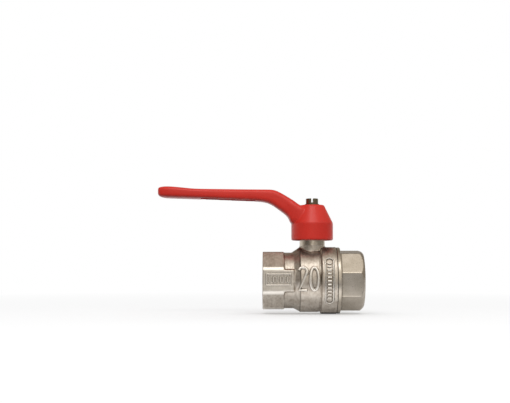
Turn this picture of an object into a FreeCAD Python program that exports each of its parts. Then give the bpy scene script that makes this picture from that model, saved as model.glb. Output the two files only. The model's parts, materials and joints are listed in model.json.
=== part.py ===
import FreeCAD, Part
import math
import os

from FreeCAD import Vector

# A quarter-turn ball valve for three-quarter inch pipe, with a parallel internal thread at each end.
# It is drawn about the centre of its ball: X runs along the pipe from inlet to outlet, Z up the stem.
# The last function moves every piece so that the origin is the centre of the inlet's mouth.
# Lengths are in millimetres and angles in degrees.

# Pipe ports
port_major_radius = 13.22
port_thread_depth = 1.16
port_thread_length = 11.6
port_runout = 1.2  # groove at the major radius where the tap runs out
mouth_chamfer = 0.4
mouth_flare = 0.25  # how far the mouth opens past the thread
throat_chamfer = 0.6
inlet_throat_wall = 1.7  # metal between the port's groove and the seat
outlet_throat_wall = 2.2

# Ball and seats
bore_radius = 9.25
ball_wall = 4.75  # ball round its bore, at the middle
bore_edge = 0.4
seat_width = 3.3  # seat ring, from its bore to its outside
seat_lip = 2.0  # ball's surface to the seat's front, at the seat's outside
seat_backing = 2.1  # seat behind the edge of the ball's bore
ball_to_seat = 0.06
seat_to_pocket = 0.05
cavity_gap = 0.4  # ball to the wall of its chamber

# Forged body
barrel_wall = 2.7
neck_wall = 1.9
flat_wall = 2.28  # metal under the octagons' flats
flat_edge_round = 2.4
inlet_flat_length = 11.5
shoulder_length = 3.6
shoulder_lead = 1.7  # end of the shoulder to the seat's front
pad_half_height = 6.1
band_wall = 2.1
band_groove = 0.6
band_round = 0.9
forging_round = 0.8
inlet_face_edge = 0.6

# Outlet cap
cap_turn = 8.0  # where the cap's flats stop against the body's
joint_thread_depth = 0.8
joint_shoulder = 1.5  # ball's chamber to the joint thread's major radius
joint_thread_pitch = 1.5
joint_half_angle = 30.0
joint_clearance = 0.12
gasket_thickness = 1.0
gasket_inset = 0.2
joint_relief = 1.6  # plain bore behind the body's thread
spigot_nose = 1.3  # spigot's end to the seat's front
spigot_length = 6.3
band_lead = 1.0  # start of the band to the gasket's step
collar_length = 2.1
collar_drop = 0.2
collar_round = 0.4
joint_line = 0.3  # chamfer on both sides of the joint between band and collar
outlet_face_edge = 1.9

# Stem and its seals
stem_radius = 4.0
stem_clearance = 0.06
flange_width = 1.4  # how far the blow-out flange stands out of the stem
flange_thickness = 1.5
flange_lift = 0.35  # above the ball
thrust_washer_thickness = 0.8
thrust_clearance = 0.05
tang_width = 4.0
tang_length = 7.6
tang_depth = 2.8
slot_clearance = 0.1
oring_section = 1.4
oring_clearance = 0.03
oring_land = 0.75
packing_width = 1.3
packing_thickness = 1.3
packing_count = 2
gland_thread_depth = 0.5
gland_thread_pitch = 1.0
gland_thread_length = 3.4
gland_wall = 0.75  # thread's major radius past the packing chamber
gland_hex_size = 12.0
gland_hex_height = 3.0
gland_hex_gap = 0.2

# Boss that carries the stem
boss_head_wall = 1.49  # metal round the gland nut's thread
boss_rise = 1.0  # foot of the boss above the barrel
boss_foot_slope = 34.0
boss_foot_width = 5.6
boss_fillet = 0.6
boss_show = 3.6  # bare boss below the lever's bell
boss_head_width = 0.7
boss_head_gap = 0.8

# Stops inside the bell: two lugs on the boss, two ribs in the bell
lever_swing = 90.0
half_turn = 180.0  # the second lug and rib lie opposite the first
stop_lug_angle = 90.0  # first lug's middle, round from the outlet's side
stop_lug_span = 44.0
stop_slack = 1.0
stop_height = 3.6
stop_gap = 0.3
stop_depth = 2.2  # boss's head to the bell's bore

# Lever
bell_wall = 1.6
bell_straight = 9.4
hub_thickness = 7.6
bell_top_radius = 6.5
bell_edge_round = 0.4
bell_top_round = 1.2
bell_headroom = 0.8  # gland nut to the bell's ceiling
square_clearance = 0.06
lever_length = 84.6  # stem axis to the tip
grip_rise = 8.2  # bell's top to the bend in the grip's upper face
grip_thickness = 6.4  # at the bends
grip_tilt_top = 0.7
grip_tilt_under = 2.3
grip_bend_top = 19.4  # stem axis to the bend in the upper face
grip_bend_under = 24.5
grip_bend_round = 9.0
root_depth = 8.6  # the arm's root on the bell, below the bell's top
thumb_length = 20.5  # tip to the foot of the thumb rest's ramp
thumb_rise = 1.2
thumb_ramp = 13.0
grip_width = 15.6
root_width = 12.4
waist_width = 11.4
tip_round = 6.0
tip_overrun = 0.4  # the plan's round end runs past the tip, which is left slightly flat
nose_round_top = 1.4
nose_round_under = 2.8
grip_edge_round = 1.3
core_depth = 2.6
core_wall = 2.3
core_start = 31.0
core_tip = 23.5  # lever's tip to the end of the hollow
grip_taper = 20.0  # waist to where the grip has its full width

# Screw that holds the lever
screw_radius = 2.0
screw_length = 9.0
screw_head_radius = 3.35
screw_head_height = 3.0
screw_head_edge = 0.3
screw_slot_width = 1.1
screw_slot_depth = 2.2
screw_clearance = 0.05
screw_tip_room = 1.0
washer_radius = 4.0
washer_thickness = 0.5
washer_hole_clearance = 0.15
stem_shortfall = 0.7  # stem's top below the bell's top, so the screw clamps the lever

# Radii and stations that follow from the sizes above
port_minor_radius = port_major_radius - port_thread_depth
ball_radius = bore_radius + ball_wall
seat_radius = bore_radius + seat_width
ball_rim = math.sqrt(ball_radius ** 2 - bore_radius ** 2)
seat_front = math.sqrt(ball_radius ** 2 - seat_radius ** 2) + seat_lip
seat_back = ball_rim + seat_backing
inlet_run = seat_back + inlet_throat_wall + port_runout + port_thread_length
outlet_run = seat_back + outlet_throat_wall + port_runout + port_thread_length

cavity_radius = ball_radius + cavity_gap
barrel_radius = cavity_radius + barrel_wall
neck_radius = port_major_radius + neck_wall
flat_size = 2 * (port_major_radius + flat_wall)
corner_radius = flat_size / 2 / math.cos(math.radians(22.5))
joint_major_radius = cavity_radius + joint_shoulder
joint_bore_radius = joint_major_radius + joint_clearance
joint_root_radius = joint_major_radius - joint_thread_depth
band_radius = joint_bore_radius + band_wall
collar_radius = band_radius - collar_drop

inlet_flat_end = inlet_flat_length - inlet_run
shoulder_end = shoulder_lead - seat_front
shoulder_start = shoulder_end - shoulder_length
spigot_start = seat_front - spigot_nose
joint_step = spigot_start - gasket_thickness
band_start = joint_step - band_lead
band_end = spigot_start + spigot_length
joint_thread_start = joint_step + joint_relief
joint_thread_length = band_end - joint_thread_start - joint_thread_pitch
collar_end = band_end + collar_length

flange_bottom = ball_radius + flange_lift
flange_top = flange_bottom + flange_thickness
flange_radius = stem_radius + flange_width
pocket_top = flange_top + thrust_clearance + thrust_washer_thickness
stem_bore_radius = stem_radius + stem_clearance
oring_groove_radius = stem_bore_radius - oring_section - 2 * oring_clearance
oring_groove_height = oring_section + 2 * oring_clearance
chamber_radius = stem_bore_radius + packing_width
gland_major_radius = chamber_radius + gland_wall
head_radius = gland_major_radius + boss_head_wall
boss_radius = head_radius - boss_head_width
boss_foot = barrel_radius + boss_rise
bell_bottom = boss_foot + boss_show
head_bottom = bell_bottom + boss_head_gap
lug_bottom = head_bottom + boss_head_width
chamber_bottom = max(head_bottom, pocket_top + 3 * oring_land + 2 * oring_groove_height)
packing_top = chamber_bottom + packing_count * packing_thickness
gland_thread_start = packing_top + gland_thread_pitch
head_top = gland_thread_start + gland_thread_length
hex_bottom = head_top + gland_hex_gap
hex_top = hex_bottom + gland_hex_height

bell_ceiling = hex_top + bell_headroom
bell_top = bell_ceiling + hub_thickness
bell_shoulder = bell_bottom + bell_straight
bell_bore_radius = head_radius + stop_depth
bell_radius = bell_bore_radius + bell_wall
bell_lean = (bell_radius - bell_top_radius) / (bell_top - bell_shoulder)
thumb_start = lever_length - thumb_length
core_end = lever_length - core_tip
stem_square = math.sqrt(2) * (stem_radius - stem_clearance)
stem_top = bell_top - stem_shortfall
washer_top = bell_top + washer_thickness


# Closed wire through the corners, each given as a place along, a place out and a rounding radius
def rounded_wire(corners, place):
    points = [Vector(along, out, 0) for along, out, radius in corners]
    arcs = []
    for index, point in enumerate(points):
        before = (points[index - 1] - point).normalize()
        after = (points[(index + 1) % len(points)] - point).normalize()
        radius = corners[index][2]
        half = before.getAngle(after) / 2
        inward = (before + after).normalize() if radius else Vector()
        reach = radius / math.tan(half)
        middle = point + inward * (radius / math.sin(half) - radius)
        arcs.append((point + before * reach, middle, point + after * reach, radius))
    edges = []
    for index, (start, middle, end, radius) in enumerate(arcs):
        if radius:
            spots = [place(spot.x, spot.y) for spot in (start, middle, end)]
            edges.append(Part.Arc(*spots).toShape())
        following = arcs[(index + 1) % len(arcs)][0]
        if end.distanceToPoint(following) > 1e-6:
            ends = place(end.x, end.y), place(following.x, following.y)
            edges.append(Part.LineSegment(*ends).toShape())
    return Part.Wire(edges)


def sharp(*pairs):
    return [(along, out, 0) for along, out in pairs]


def along_pipe(along, out):
    return Vector(along, out, 0)


def up_stem(along, out):
    return Vector(out, 0, along)


def from_side(along, up):
    return Vector(along, 0, up)


# Solid of revolution round the pipe's axis, from corners given as X, radius and rounding
def turned_on_pipe(corners):
    return Part.Face(rounded_wire(corners, along_pipe)).revolve(Vector(), Vector(1, 0, 0), 360)


# Solid of revolution round the stem's axis, from corners given as Z, radius and rounding
def turned_on_stem(corners):
    return Part.Face(rounded_wire(corners, up_stem)).revolve(Vector(), Vector(0, 0, 1), 360)


# Ring-by-ring thread form between two radii: it starts and ends on the lower one
def thread(start, length, pitch, low, high, half_angle):
    flank = (high - low) * math.tan(math.radians(half_angle))
    flat = pitch / 2 - flank
    wave = []
    for turn in range(int(length / pitch)):
        base = start + turn * pitch
        wave += sharp((base, low), (base + flat, low), (base + flat + flank, high),
                      (base + 2 * flat + flank, high))
    end = start + int(length / pitch) * pitch
    return wave + sharp((end, low), (end + flat, low))


def box_between(low, high):
    return Part.makeBox(high.x - low.x, high.y - low.y, high.z - low.z, low)


# Regular bar along an axis, from one station to another, with its flats facing up when turn is zero
def bar(sides, size, start, end, place, direction, turn=0, edge_round=0):
    corner = size / 2 / math.cos(math.pi / sides)
    step = 360 / sides
    angles = [math.radians(turn + step / 2 + step * side) for side in range(sides + 1)]
    wire = Part.makePolygon([place(start, corner * math.sin(angle), corner * math.cos(angle))
                             for angle in angles])
    solid = Part.Face(wire).extrude(direction * (end - start))
    if edge_round:
        long_edges = [edge for edge in solid.Edges if abs(edge.tangentAt(0).dot(direction)) > 0.99]
        solid = solid.makeFillet(edge_round, long_edges)
    return solid


def pipe_bar(sides, size, start, end, turn, edge_round):
    def place(at, y, z):
        return Vector(at, y, z)
    return bar(sides, size, start, end, place, Vector(1, 0, 0), turn, edge_round)


def stem_bar(sides, size, start, end, turn=0):
    def place(at, x, y):
        return Vector(x, y, at)
    return bar(sides, size, start, end, place, Vector(0, 0, 1), turn)


# Part of a ring round the stem, centred on an angle
def ring_sector(inner, outer, bottom, top, middle, span):
    wedge = Part.makeCylinder(outer, top - bottom, Vector(0, 0, bottom), Vector(0, 0, 1), span)
    hole = Part.makeCylinder(inner, top - bottom, Vector(0, 0, bottom))
    return wedge.cut(hole).rotated(Vector(), Vector(0, 0, 1), middle - span / 2)


def fuse_all(first, *others):
    return first.fuse(list(others)).removeSplitter()


# Room inside a port, from its face inwards: the mouth, the thread as a plain bore at its minor radius,
# the groove where the tap runs out, then the waterway
def port_room(face, inner_end):
    mouth_end = face + mouth_chamfer
    thread_end = face + port_thread_length
    throat = thread_end + port_runout
    return turned_on_pipe(sharp(
        (face - mouth_chamfer, 0), (face - mouth_chamfer, port_major_radius + mouth_flare),
        (face, port_major_radius + mouth_flare), (mouth_end, port_minor_radius),
        (thread_end, port_minor_radius), (thread_end, port_major_radius), (throat, port_major_radius),
        (throat + throat_chamfer, bore_radius), (inner_end, bore_radius), (inner_end, 0)))


# Turned outline that trims an octagon's ends: an edge chamfer at the face and a rounded step at the back
def trim(face, back, edge, overlap):
    sign = 1 if back > face else -1
    rim = corner_radius + 1
    slope = flat_size / 2 - edge / 2
    return turned_on_pipe([(face, 0, 0), (face, slope, edge / 2),
                           (face + sign * (rim - slope), rim, 0), (back + sign * overlap, rim, 0),
                           (back + sign * overlap, 0, 0)])


def seat_pocket(front, back):
    return turned_on_pipe(sharp((front, 0), (front, seat_radius + seat_to_pocket),
                                (back, seat_radius + seat_to_pocket), (back, 0)))


def body():
    flats = pipe_bar(8, flat_size, -inlet_run, inlet_flat_end, 0, flat_edge_round)
    flats = flats.common(trim(-inlet_run, inlet_flat_end, inlet_face_edge, 0))
    groove_radius = barrel_radius - band_groove
    shell = turned_on_pipe([
        (inlet_flat_end - inlet_flat_length / 2, 0, 0),
        (inlet_flat_end - inlet_flat_length / 2, port_major_radius + neck_wall / 2, 0),
        (inlet_flat_end - neck_wall / 2, port_major_radius + neck_wall / 2, 0),
        (inlet_flat_end - neck_wall / 2, neck_radius, 0),
        (shoulder_start, neck_radius, forging_round),
        (shoulder_end, barrel_radius, forging_round),
        (band_start - band_groove, barrel_radius, 0),
        (band_start, groove_radius, 0),
        (band_start, band_radius, band_round),
        (band_end, band_radius, joint_line),
        (band_end, 0, 0),
    ])
    pad = box_between(Vector(inlet_flat_end - 1, -flat_size / 2, -pad_half_height),
                      Vector(shoulder_end, flat_size / 2, pad_half_height))
    foot_drop = boss_foot_width * math.tan(math.radians(boss_foot_slope))
    boss = turned_on_stem([
        (bore_radius, 0, 0),
        (bore_radius, boss_radius + boss_foot_width + boss_fillet, 0),
        (boss_foot - foot_drop, boss_radius + boss_foot_width, forging_round),
        (boss_foot, boss_radius, boss_fillet),
        (head_bottom, boss_radius, 0),
        (head_bottom + boss_head_width, head_radius, 0),
        (head_top, head_radius, joint_line),
        (head_top, 0, 0),
    ])
    boss = boss.common(box_between(Vector(-inlet_run, -band_radius, 0),
                                   Vector(band_end - joint_line, band_radius, head_top)))
    lugs = [ring_sector(boss_radius, bell_bore_radius - stop_gap, lug_bottom, lug_bottom + stop_height,
                        middle, stop_lug_span)
            for middle in (stop_lug_angle, stop_lug_angle + half_turn)]
    solid = fuse_all(flats, shell, pad, boss, *lugs)

    chamber = turned_on_pipe(
        sharp((-seat_front, 0), (-seat_front, cavity_radius), (joint_step, cavity_radius),
              (joint_step, joint_bore_radius), (joint_thread_start, joint_bore_radius))
        + thread(joint_thread_start, joint_thread_length, joint_thread_pitch,
                 joint_root_radius + joint_clearance, joint_bore_radius, joint_half_angle)
        + sharp((band_end, joint_bore_radius), (band_end, 0)))
    stem_room = turned_on_stem(
        sharp((0, 0), (0, flange_radius + stem_clearance), (pocket_top, flange_radius + stem_clearance),
              (pocket_top, stem_bore_radius), (chamber_bottom, stem_bore_radius),
              (chamber_bottom, chamber_radius))
        + thread(gland_thread_start, gland_thread_length - gland_thread_pitch, gland_thread_pitch,
                 gland_major_radius - gland_thread_depth + stem_clearance,
                 gland_major_radius + stem_clearance, joint_half_angle)
        + sharp((head_top, gland_major_radius + stem_clearance), (head_top, 0)))
    return solid.cut([port_room(-inlet_run, 0), seat_pocket(-seat_back, -seat_front), chamber, stem_room])


def end_cap():
    flats = pipe_bar(8, flat_size, collar_end - collar_round, outlet_run, cap_turn, flat_edge_round)
    flats = flats.common(trim(outlet_run, collar_end - collar_round, outlet_face_edge, 0))
    spigot = turned_on_pipe(
        sharp((spigot_start, 0), (spigot_start, joint_root_radius))
        + thread(joint_thread_start, joint_thread_length, joint_thread_pitch,
                 joint_root_radius, joint_major_radius, joint_half_angle)
        + sharp((band_end, joint_root_radius))
        + [(band_end, collar_radius, joint_line), (collar_end, collar_radius, collar_round),
           (collar_end, 0, 0)])
    solid = fuse_all(flats, spigot)
    room = port_room(-outlet_run, 0).mirror(Vector(), Vector(1, 0, 0))
    return solid.cut([room, seat_pocket(0, seat_back)])


def ball():
    sphere = Part.makeSphere(ball_radius)
    mouth_radius = bore_radius + 2 * bore_edge
    bore = turned_on_pipe(sharp((0, 0), (0, bore_radius), (ball_rim - bore_edge, bore_radius),
                                (ball_rim + bore_edge, mouth_radius), (ball_radius, mouth_radius),
                                (ball_radius, 0)))
    half_slot = tang_width / 2 + slot_clearance
    slot = box_between(Vector(-half_slot, -ball_radius, ball_radius - tang_depth),
                       Vector(half_slot, ball_radius, ball_radius))
    return sphere.cut([bore, bore.mirror(Vector(), Vector(1, 0, 0)), slot])


# Seat ring with a spherical face that the ball turns against
def seat_ring():
    ring = turned_on_pipe(sharp((seat_front, bore_radius), (seat_front, seat_radius),
                                (seat_back, seat_radius), (seat_back, bore_radius)))
    return ring.cut(Part.makeSphere(ball_radius + ball_to_seat))


def body_gasket():
    inner = cavity_radius + gasket_inset
    outer = joint_bore_radius - gasket_inset
    return turned_on_pipe(sharp((joint_step, inner), (spigot_start, inner), (spigot_start, outer),
                                (joint_step, outer)))


def ring_on_stem(bottom, top, inner, outer):
    return turned_on_stem(sharp((bottom, inner), (bottom, outer), (top, outer), (top, inner)))


def oring_groove(index):
    return pocket_top + oring_land + index * (oring_groove_height + oring_land)


def stem():
    shaft = sharp((flange_bottom, 0), (flange_bottom, flange_radius), (flange_top, flange_radius),
                  (flange_top, stem_radius))
    for index in range(2):
        bottom = oring_groove(index)
        top = bottom + oring_groove_height
        shaft += sharp((bottom, stem_radius), (bottom, oring_groove_radius), (top, oring_groove_radius),
                       (top, stem_radius))
    shaft += sharp((bell_ceiling, stem_radius), (bell_ceiling, 0))
    tang = box_between(Vector(-tang_width / 2, -tang_length / 2, ball_radius - tang_depth + slot_clearance),
                       Vector(tang_width / 2, tang_length / 2, flange_bottom))
    square = stem_bar(4, stem_square, bell_ceiling, stem_top)
    round_bar = Part.makeCylinder(stem_radius, stem_top - bell_ceiling, Vector(0, 0, bell_ceiling))
    hole_depth = screw_length + screw_tip_room
    hole_radius = screw_radius + screw_clearance
    hole = Part.makeCylinder(hole_radius, hole_depth, Vector(0, 0, stem_top - hole_depth))
    return fuse_all(turned_on_stem(shaft), tang, square.common(round_bar)).cut(hole)


def stem_oring(index):
    middle = oring_groove(index) + oring_groove_height / 2
    return Part.makeTorus(oring_groove_radius + oring_clearance + oring_section / 2, oring_section / 2,
                          Vector(0, 0, middle))


def gland_nut():
    core_radius = gland_major_radius - gland_thread_depth
    outer = sharp((packing_top, stem_bore_radius), (packing_top, chamber_radius - stem_clearance))
    outer += thread(gland_thread_start, gland_thread_length - gland_thread_pitch, gland_thread_pitch,
                    core_radius, gland_major_radius, joint_half_angle)
    outer += sharp((hex_bottom, core_radius), (hex_bottom, stem_bore_radius))
    hexagon = stem_bar(6, gland_hex_size, hex_bottom, hex_top)
    hexagon = hexagon.cut(Part.makeCylinder(stem_bore_radius, gland_hex_height, Vector(0, 0, hex_bottom)))
    return fuse_all(turned_on_stem(outer), hexagon)


# Heights of the grip's upper and under faces at a reach from the stem's axis
def grip_top_at(reach):
    return bell_top + grip_rise + (reach - grip_bend_top) * math.tan(math.radians(grip_tilt_top))


def grip_under_at(reach):
    rise = (reach - grip_bend_under) * math.tan(math.radians(grip_tilt_under))
    return bell_top + grip_rise - grip_thickness + rise


# Solid of constant width across, from an outline seen from the side
def slab(corners, width):
    face = Part.Face(rounded_wire(corners, from_side))
    face.translate(Vector(0, -width / 2, 0))
    return face.extrude(Vector(0, width, 0))


# Side outline of the arm, from its root in the bell to the tip, extruded across
def arm_side():
    return slab([
        (0, bell_top - root_depth, 0),
        (-bell_radius + bell_wall, bell_top - root_depth, 0),
        (-grip_bend_under, grip_under_at(grip_bend_under), grip_bend_round),
        (-lever_length, grip_under_at(lever_length), nose_round_under),
        (-lever_length, grip_top_at(lever_length) + thumb_rise, nose_round_top),
        (-thumb_start - thumb_ramp, grip_top_at(thumb_start + thumb_ramp) + thumb_rise, 0),
        (-thumb_start, grip_top_at(thumb_start), 0),
        (-grip_bend_top, grip_top_at(grip_bend_top), grip_bend_round),
        (-bell_top_radius, bell_top - bell_top_round / 2, 0),
        (0, bell_top - bell_top_round, 0),
    ], grip_width)


# Plan outline of the arm, wider at the grip than at the waist
def arm_plan():
    waist = (grip_bend_top + grip_bend_under) / 2
    plan_end = lever_length + tip_overrun
    corners = [
        (0, -root_width / 2, 0), (0, root_width / 2, 0),
        (-waist, waist_width / 2, grip_bend_round),
        (-waist - grip_taper, grip_width / 2, grip_bend_round),
        (-plan_end, grip_width / 2, tip_round), (-plan_end, -grip_width / 2, tip_round),
        (-waist - grip_taper, -grip_width / 2, grip_bend_round),
        (-waist, -waist_width / 2, grip_bend_round),
    ]
    face = Part.Face(rounded_wire(corners, along_pipe))
    height = bell_top + grip_rise + thumb_ramp
    return face.extrude(Vector(0, 0, height))


# Hollow in the grip's underside, as a casting has, with a wall left all round
def grip_core():
    below = grip_under_at(grip_bend_under) - core_wall
    return slab([
        (-core_start, below, 0),
        (-core_end, below, 0),
        (-core_end, grip_under_at(core_end) + core_depth, core_depth / 2),
        (-core_start, grip_under_at(core_start) + core_depth, core_depth / 2),
    ], grip_width - 2 * core_wall)


def lever_handle():
    arm = arm_side().common(arm_plan())
    outer_edges = [edge for edge in arm.Edges if edge.BoundBox.XMin < -bell_radius]
    arm = arm.makeFillet(grip_edge_round, outer_edges)
    bell = turned_on_stem([
        (bell_bottom, 0, 0),
        (bell_bottom, bell_radius, bell_edge_round),
        (bell_shoulder, bell_radius, bell_top_round),
        (bell_top - bell_top_round / 2, bell_top_radius, bell_top_round),
        (bell_top, bell_top_radius - bell_top_round, 0),
        (bell_top, 0, 0),
    ])
    cone_start = bell_shoulder - bell_wall
    ceiling_radius = bell_bore_radius - bell_lean * (bell_ceiling - cone_start)
    room = turned_on_stem(sharp((bell_bottom - 1, 0), (bell_bottom - 1, bell_bore_radius),
                                (cone_start, bell_bore_radius), (bell_ceiling, ceiling_radius),
                                (bell_ceiling, 0)))
    square_hole = stem_bar(4, stem_square + 2 * square_clearance, bell_ceiling - 1, bell_top + 1)
    rib_span = half_turn - lever_swing - stop_lug_span - 2 * stop_slack
    rib_middle = stop_lug_angle - stop_lug_span / 2 - stop_slack - rib_span / 2
    ribs = [ring_sector(head_radius + stop_gap, bell_bore_radius + bell_wall / 2, lug_bottom,
                        lug_bottom + stop_height, middle, rib_span)
            for middle in (rib_middle, rib_middle + half_turn)]
    return fuse_all(fuse_all(arm, bell).cut([room, square_hole, grip_core()]), *ribs)


def lever_washer():
    return ring_on_stem(bell_top, washer_top, screw_radius + washer_hole_clearance, washer_radius)


def lever_screw():
    head_top = washer_top + screw_head_height
    solid = turned_on_stem([
        (stem_top - screw_length, 0, 0), (stem_top - screw_length, screw_radius, 0),
        (washer_top, screw_radius, 0), (washer_top, screw_head_radius, 0),
        (head_top, screw_head_radius, screw_head_edge), (head_top, 0, 0),
    ])
    slot = box_between(Vector(-screw_slot_width / 2, -screw_head_radius, head_top - screw_slot_depth),
                       Vector(screw_slot_width / 2, screw_head_radius, head_top))
    return solid.cut(slot)


def export(name, shape):
    shape.translate(Vector(inlet_run, 0, 0))
    shape.exportStep("parts/" + name + ".step")
    state = "valid" if shape.isValid() else "not valid"
    print(name, state, len(shape.Solids), "solid", round(shape.Volume, 1), "cubic mm")


os.makedirs("parts", exist_ok=True)
export("body", body())
export("end_cap", end_cap())
export("ball", ball())
export("seat_ring_outlet", seat_ring())
export("seat_ring_inlet", seat_ring().mirror(Vector(), Vector(1, 0, 0)))
export("body_gasket", body_gasket())
export("stem", stem())
export("stem_thrust_washer", ring_on_stem(pocket_top - thrust_washer_thickness, pocket_top,
                                          stem_bore_radius, flange_radius))
export("stem_oring_lower", stem_oring(0))
export("stem_oring_upper", stem_oring(1))
for index in range(packing_count):
    bottom = chamber_bottom + index * packing_thickness
    top = bottom + packing_thickness
    ring = ring_on_stem(bottom, top, stem_bore_radius, chamber_radius - stem_clearance)
    export("packing_ring_" + str(index + 1), ring)
export("gland_nut", gland_nut())
export("lever_handle", lever_handle())
export("lever_washer", lever_washer())
export("lever_screw", lever_screw())
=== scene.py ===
import json
import math

import bmesh
import bpy
from mathutils import Matrix, Vector, noise


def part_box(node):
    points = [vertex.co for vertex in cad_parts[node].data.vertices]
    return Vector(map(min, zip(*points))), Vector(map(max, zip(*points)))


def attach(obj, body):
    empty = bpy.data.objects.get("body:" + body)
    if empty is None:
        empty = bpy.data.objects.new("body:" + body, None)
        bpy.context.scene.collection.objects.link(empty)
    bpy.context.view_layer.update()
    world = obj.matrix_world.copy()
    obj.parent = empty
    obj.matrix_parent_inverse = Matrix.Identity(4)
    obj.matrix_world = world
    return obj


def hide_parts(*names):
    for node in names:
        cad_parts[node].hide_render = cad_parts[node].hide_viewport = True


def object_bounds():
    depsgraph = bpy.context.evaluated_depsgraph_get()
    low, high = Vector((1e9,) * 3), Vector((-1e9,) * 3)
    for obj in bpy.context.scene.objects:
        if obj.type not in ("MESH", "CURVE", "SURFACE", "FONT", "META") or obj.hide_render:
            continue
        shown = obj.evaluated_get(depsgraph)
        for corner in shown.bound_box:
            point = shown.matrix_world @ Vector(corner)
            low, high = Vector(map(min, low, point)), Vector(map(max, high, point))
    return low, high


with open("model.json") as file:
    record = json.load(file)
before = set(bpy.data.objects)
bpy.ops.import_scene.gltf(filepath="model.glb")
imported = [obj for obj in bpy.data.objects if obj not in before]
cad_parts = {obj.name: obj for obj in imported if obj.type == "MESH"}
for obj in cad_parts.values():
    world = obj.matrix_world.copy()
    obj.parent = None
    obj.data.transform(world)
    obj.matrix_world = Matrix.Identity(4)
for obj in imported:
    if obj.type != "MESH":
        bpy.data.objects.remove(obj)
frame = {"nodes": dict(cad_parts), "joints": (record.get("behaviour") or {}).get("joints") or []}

# A plated quarter-turn valve with a red lever. Sizes are in millimetres, X from the stem's axis and
# Z from the pipe's axis, and are moved into the frame when each piece is made.
mm = 0.001
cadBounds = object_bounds()
stemX = frame["joints"][0]["pos_m"][0]
bodyLow, bodyHigh = (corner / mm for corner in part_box("body"))
capLow, capHigh = (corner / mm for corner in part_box("end_cap"))
leverLow, leverHigh = (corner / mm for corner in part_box("lever_handle"))
screwLow, screwHigh = (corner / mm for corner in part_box("lever_screw"))
washerLow, washerHigh = (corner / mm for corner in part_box("lever_washer"))
ballRadius = (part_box("ball")[1] / mm).y
stemAt = stemX / mm
past = 1  # how far a cutting tool runs past what it cuts


def roundedOutline(corners, stepAngle=15):
    # corners are (along, out, radius); each radius becomes an arc of short runs
    points = []
    for index, (along, out, radius) in enumerate(corners):
        corner = Vector((along, out))
        if not radius:
            points.append(corner)
            continue
        before = (Vector(corners[index - 1][:2]) - corner).normalized()
        after = (Vector(corners[(index + 1) % len(corners)][:2]) - corner).normalized()
        half = before.angle(after) / 2
        centre = corner + (before + after).normalized() * radius / math.sin(half)
        start = corner + before * radius / math.tan(half) - centre
        turn = start.angle_signed(corner + after * radius / math.tan(half) - centre)
        steps = max(2, round(abs(math.degrees(turn)) / stepAngle))
        for step in range(steps + 1):
            spoke = start.copy()
            spoke.rotate(Matrix.Rotation(-turn * step / steps, 2))
            points.append(centre + spoke)
    return [(point.x, point.y) for point in points]


def spinOutline(bm, points, axis, steps=160):
    # an outline of (along, out) turned round the pipe or the stem; one that starts off the axis is a ring
    onPipe = axis == "pipe"
    spots = [(along, 0, out) if onPipe else (out, 0, along) for along, out in points]
    verts = [bm.verts.new(Vector(spot) * mm) for spot in spots]
    edges = [bm.edges.new(pair) for pair in zip(verts, verts[1:])]
    if points[0][1] > 0:
        edges.append(bm.edges.new((verts[-1], verts[0])))
    bmesh.ops.spin(bm, geom=verts + edges, cent=(0, 0, 0), axis=(1, 0, 0) if onPipe else (0, 0, 1),
                   angle=math.tau, steps=steps, use_merge=True)
    bmesh.ops.remove_doubles(bm, verts=bm.verts, dist=mm * 1e-4)


def addBar(bm, sides, size, start, end, turn, edgeRound):
    # a regular bar along the pipe with rounded long edges; a flat faces up when turn is zero
    corner = size / 2 / math.cos(math.pi / sides)
    lay = Matrix.Translation((start * mm, 0, 0)) @ Matrix.Rotation(math.radians(turn + 180 / sides), 4, "X")
    lay = lay @ Matrix.Rotation(math.pi / 2, 4, "Y")
    made = bmesh.ops.create_circle(bm, cap_ends=True, segments=sides, radius=corner * mm, matrix=lay)
    face = made["verts"][0].link_faces[0]
    pulled = bmesh.ops.extrude_face_region(bm, geom=[face])["geom"]
    bmesh.ops.translate(bm, verts=[vert for vert in pulled if isinstance(vert, bmesh.types.BMVert)],
                        vec=((end - start) * mm, 0, 0))
    bar = set(made["verts"]) | {vert for vert in pulled if isinstance(vert, bmesh.types.BMVert)}
    longEdges = [edge for edge in bm.edges if set(edge.verts) <= bar
                 and abs((edge.verts[1].co - edge.verts[0].co).normalized().x) > 0.99]
    bmesh.ops.bevel(bm, geom=longEdges, offset=edgeRound * math.tan(math.pi / sides) * mm, segments=5,
                    affect="EDGES", profile=0.5, material=-1)


def addBlock(bm, low, high, edgeRound=0):
    size = Vector(high) - Vector(low)
    place = Matrix.Translation((Vector(low) + size / 2) * mm) @ Matrix.Diagonal((*size * mm, 1))
    made = bmesh.ops.create_cube(bm, size=1, matrix=place)
    if edgeRound:
        edges = {edge for vert in made["verts"] for edge in vert.link_edges}
        bmesh.ops.bevel(bm, geom=list(edges), offset=edgeRound * mm, segments=3, affect="EDGES",
                        profile=0.5, material=-1)


def makePiece(name, bm):
    bmesh.ops.recalc_face_normals(bm, faces=bm.faces)
    mesh = bpy.data.meshes.new(name)
    bm.to_mesh(mesh)
    bm.free()
    piece = bpy.data.objects.new(name, mesh)
    bpy.context.scene.collection.objects.link(piece)
    return piece


def bakeModifiers(piece):
    bpy.context.view_layer.update()
    graph = bpy.context.evaluated_depsgraph_get()
    mesh = bpy.data.meshes.new_from_object(piece.evaluated_get(graph))
    piece.modifiers.clear()
    piece.data = mesh


def carve(piece, tool, operation="DIFFERENCE"):
    cut = piece.modifiers.new("carve", "BOOLEAN")
    cut.operation = operation
    cut.solver = "EXACT"
    cut.object = tool
    bakeModifiers(piece)
    bpy.data.objects.remove(tool)


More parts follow.
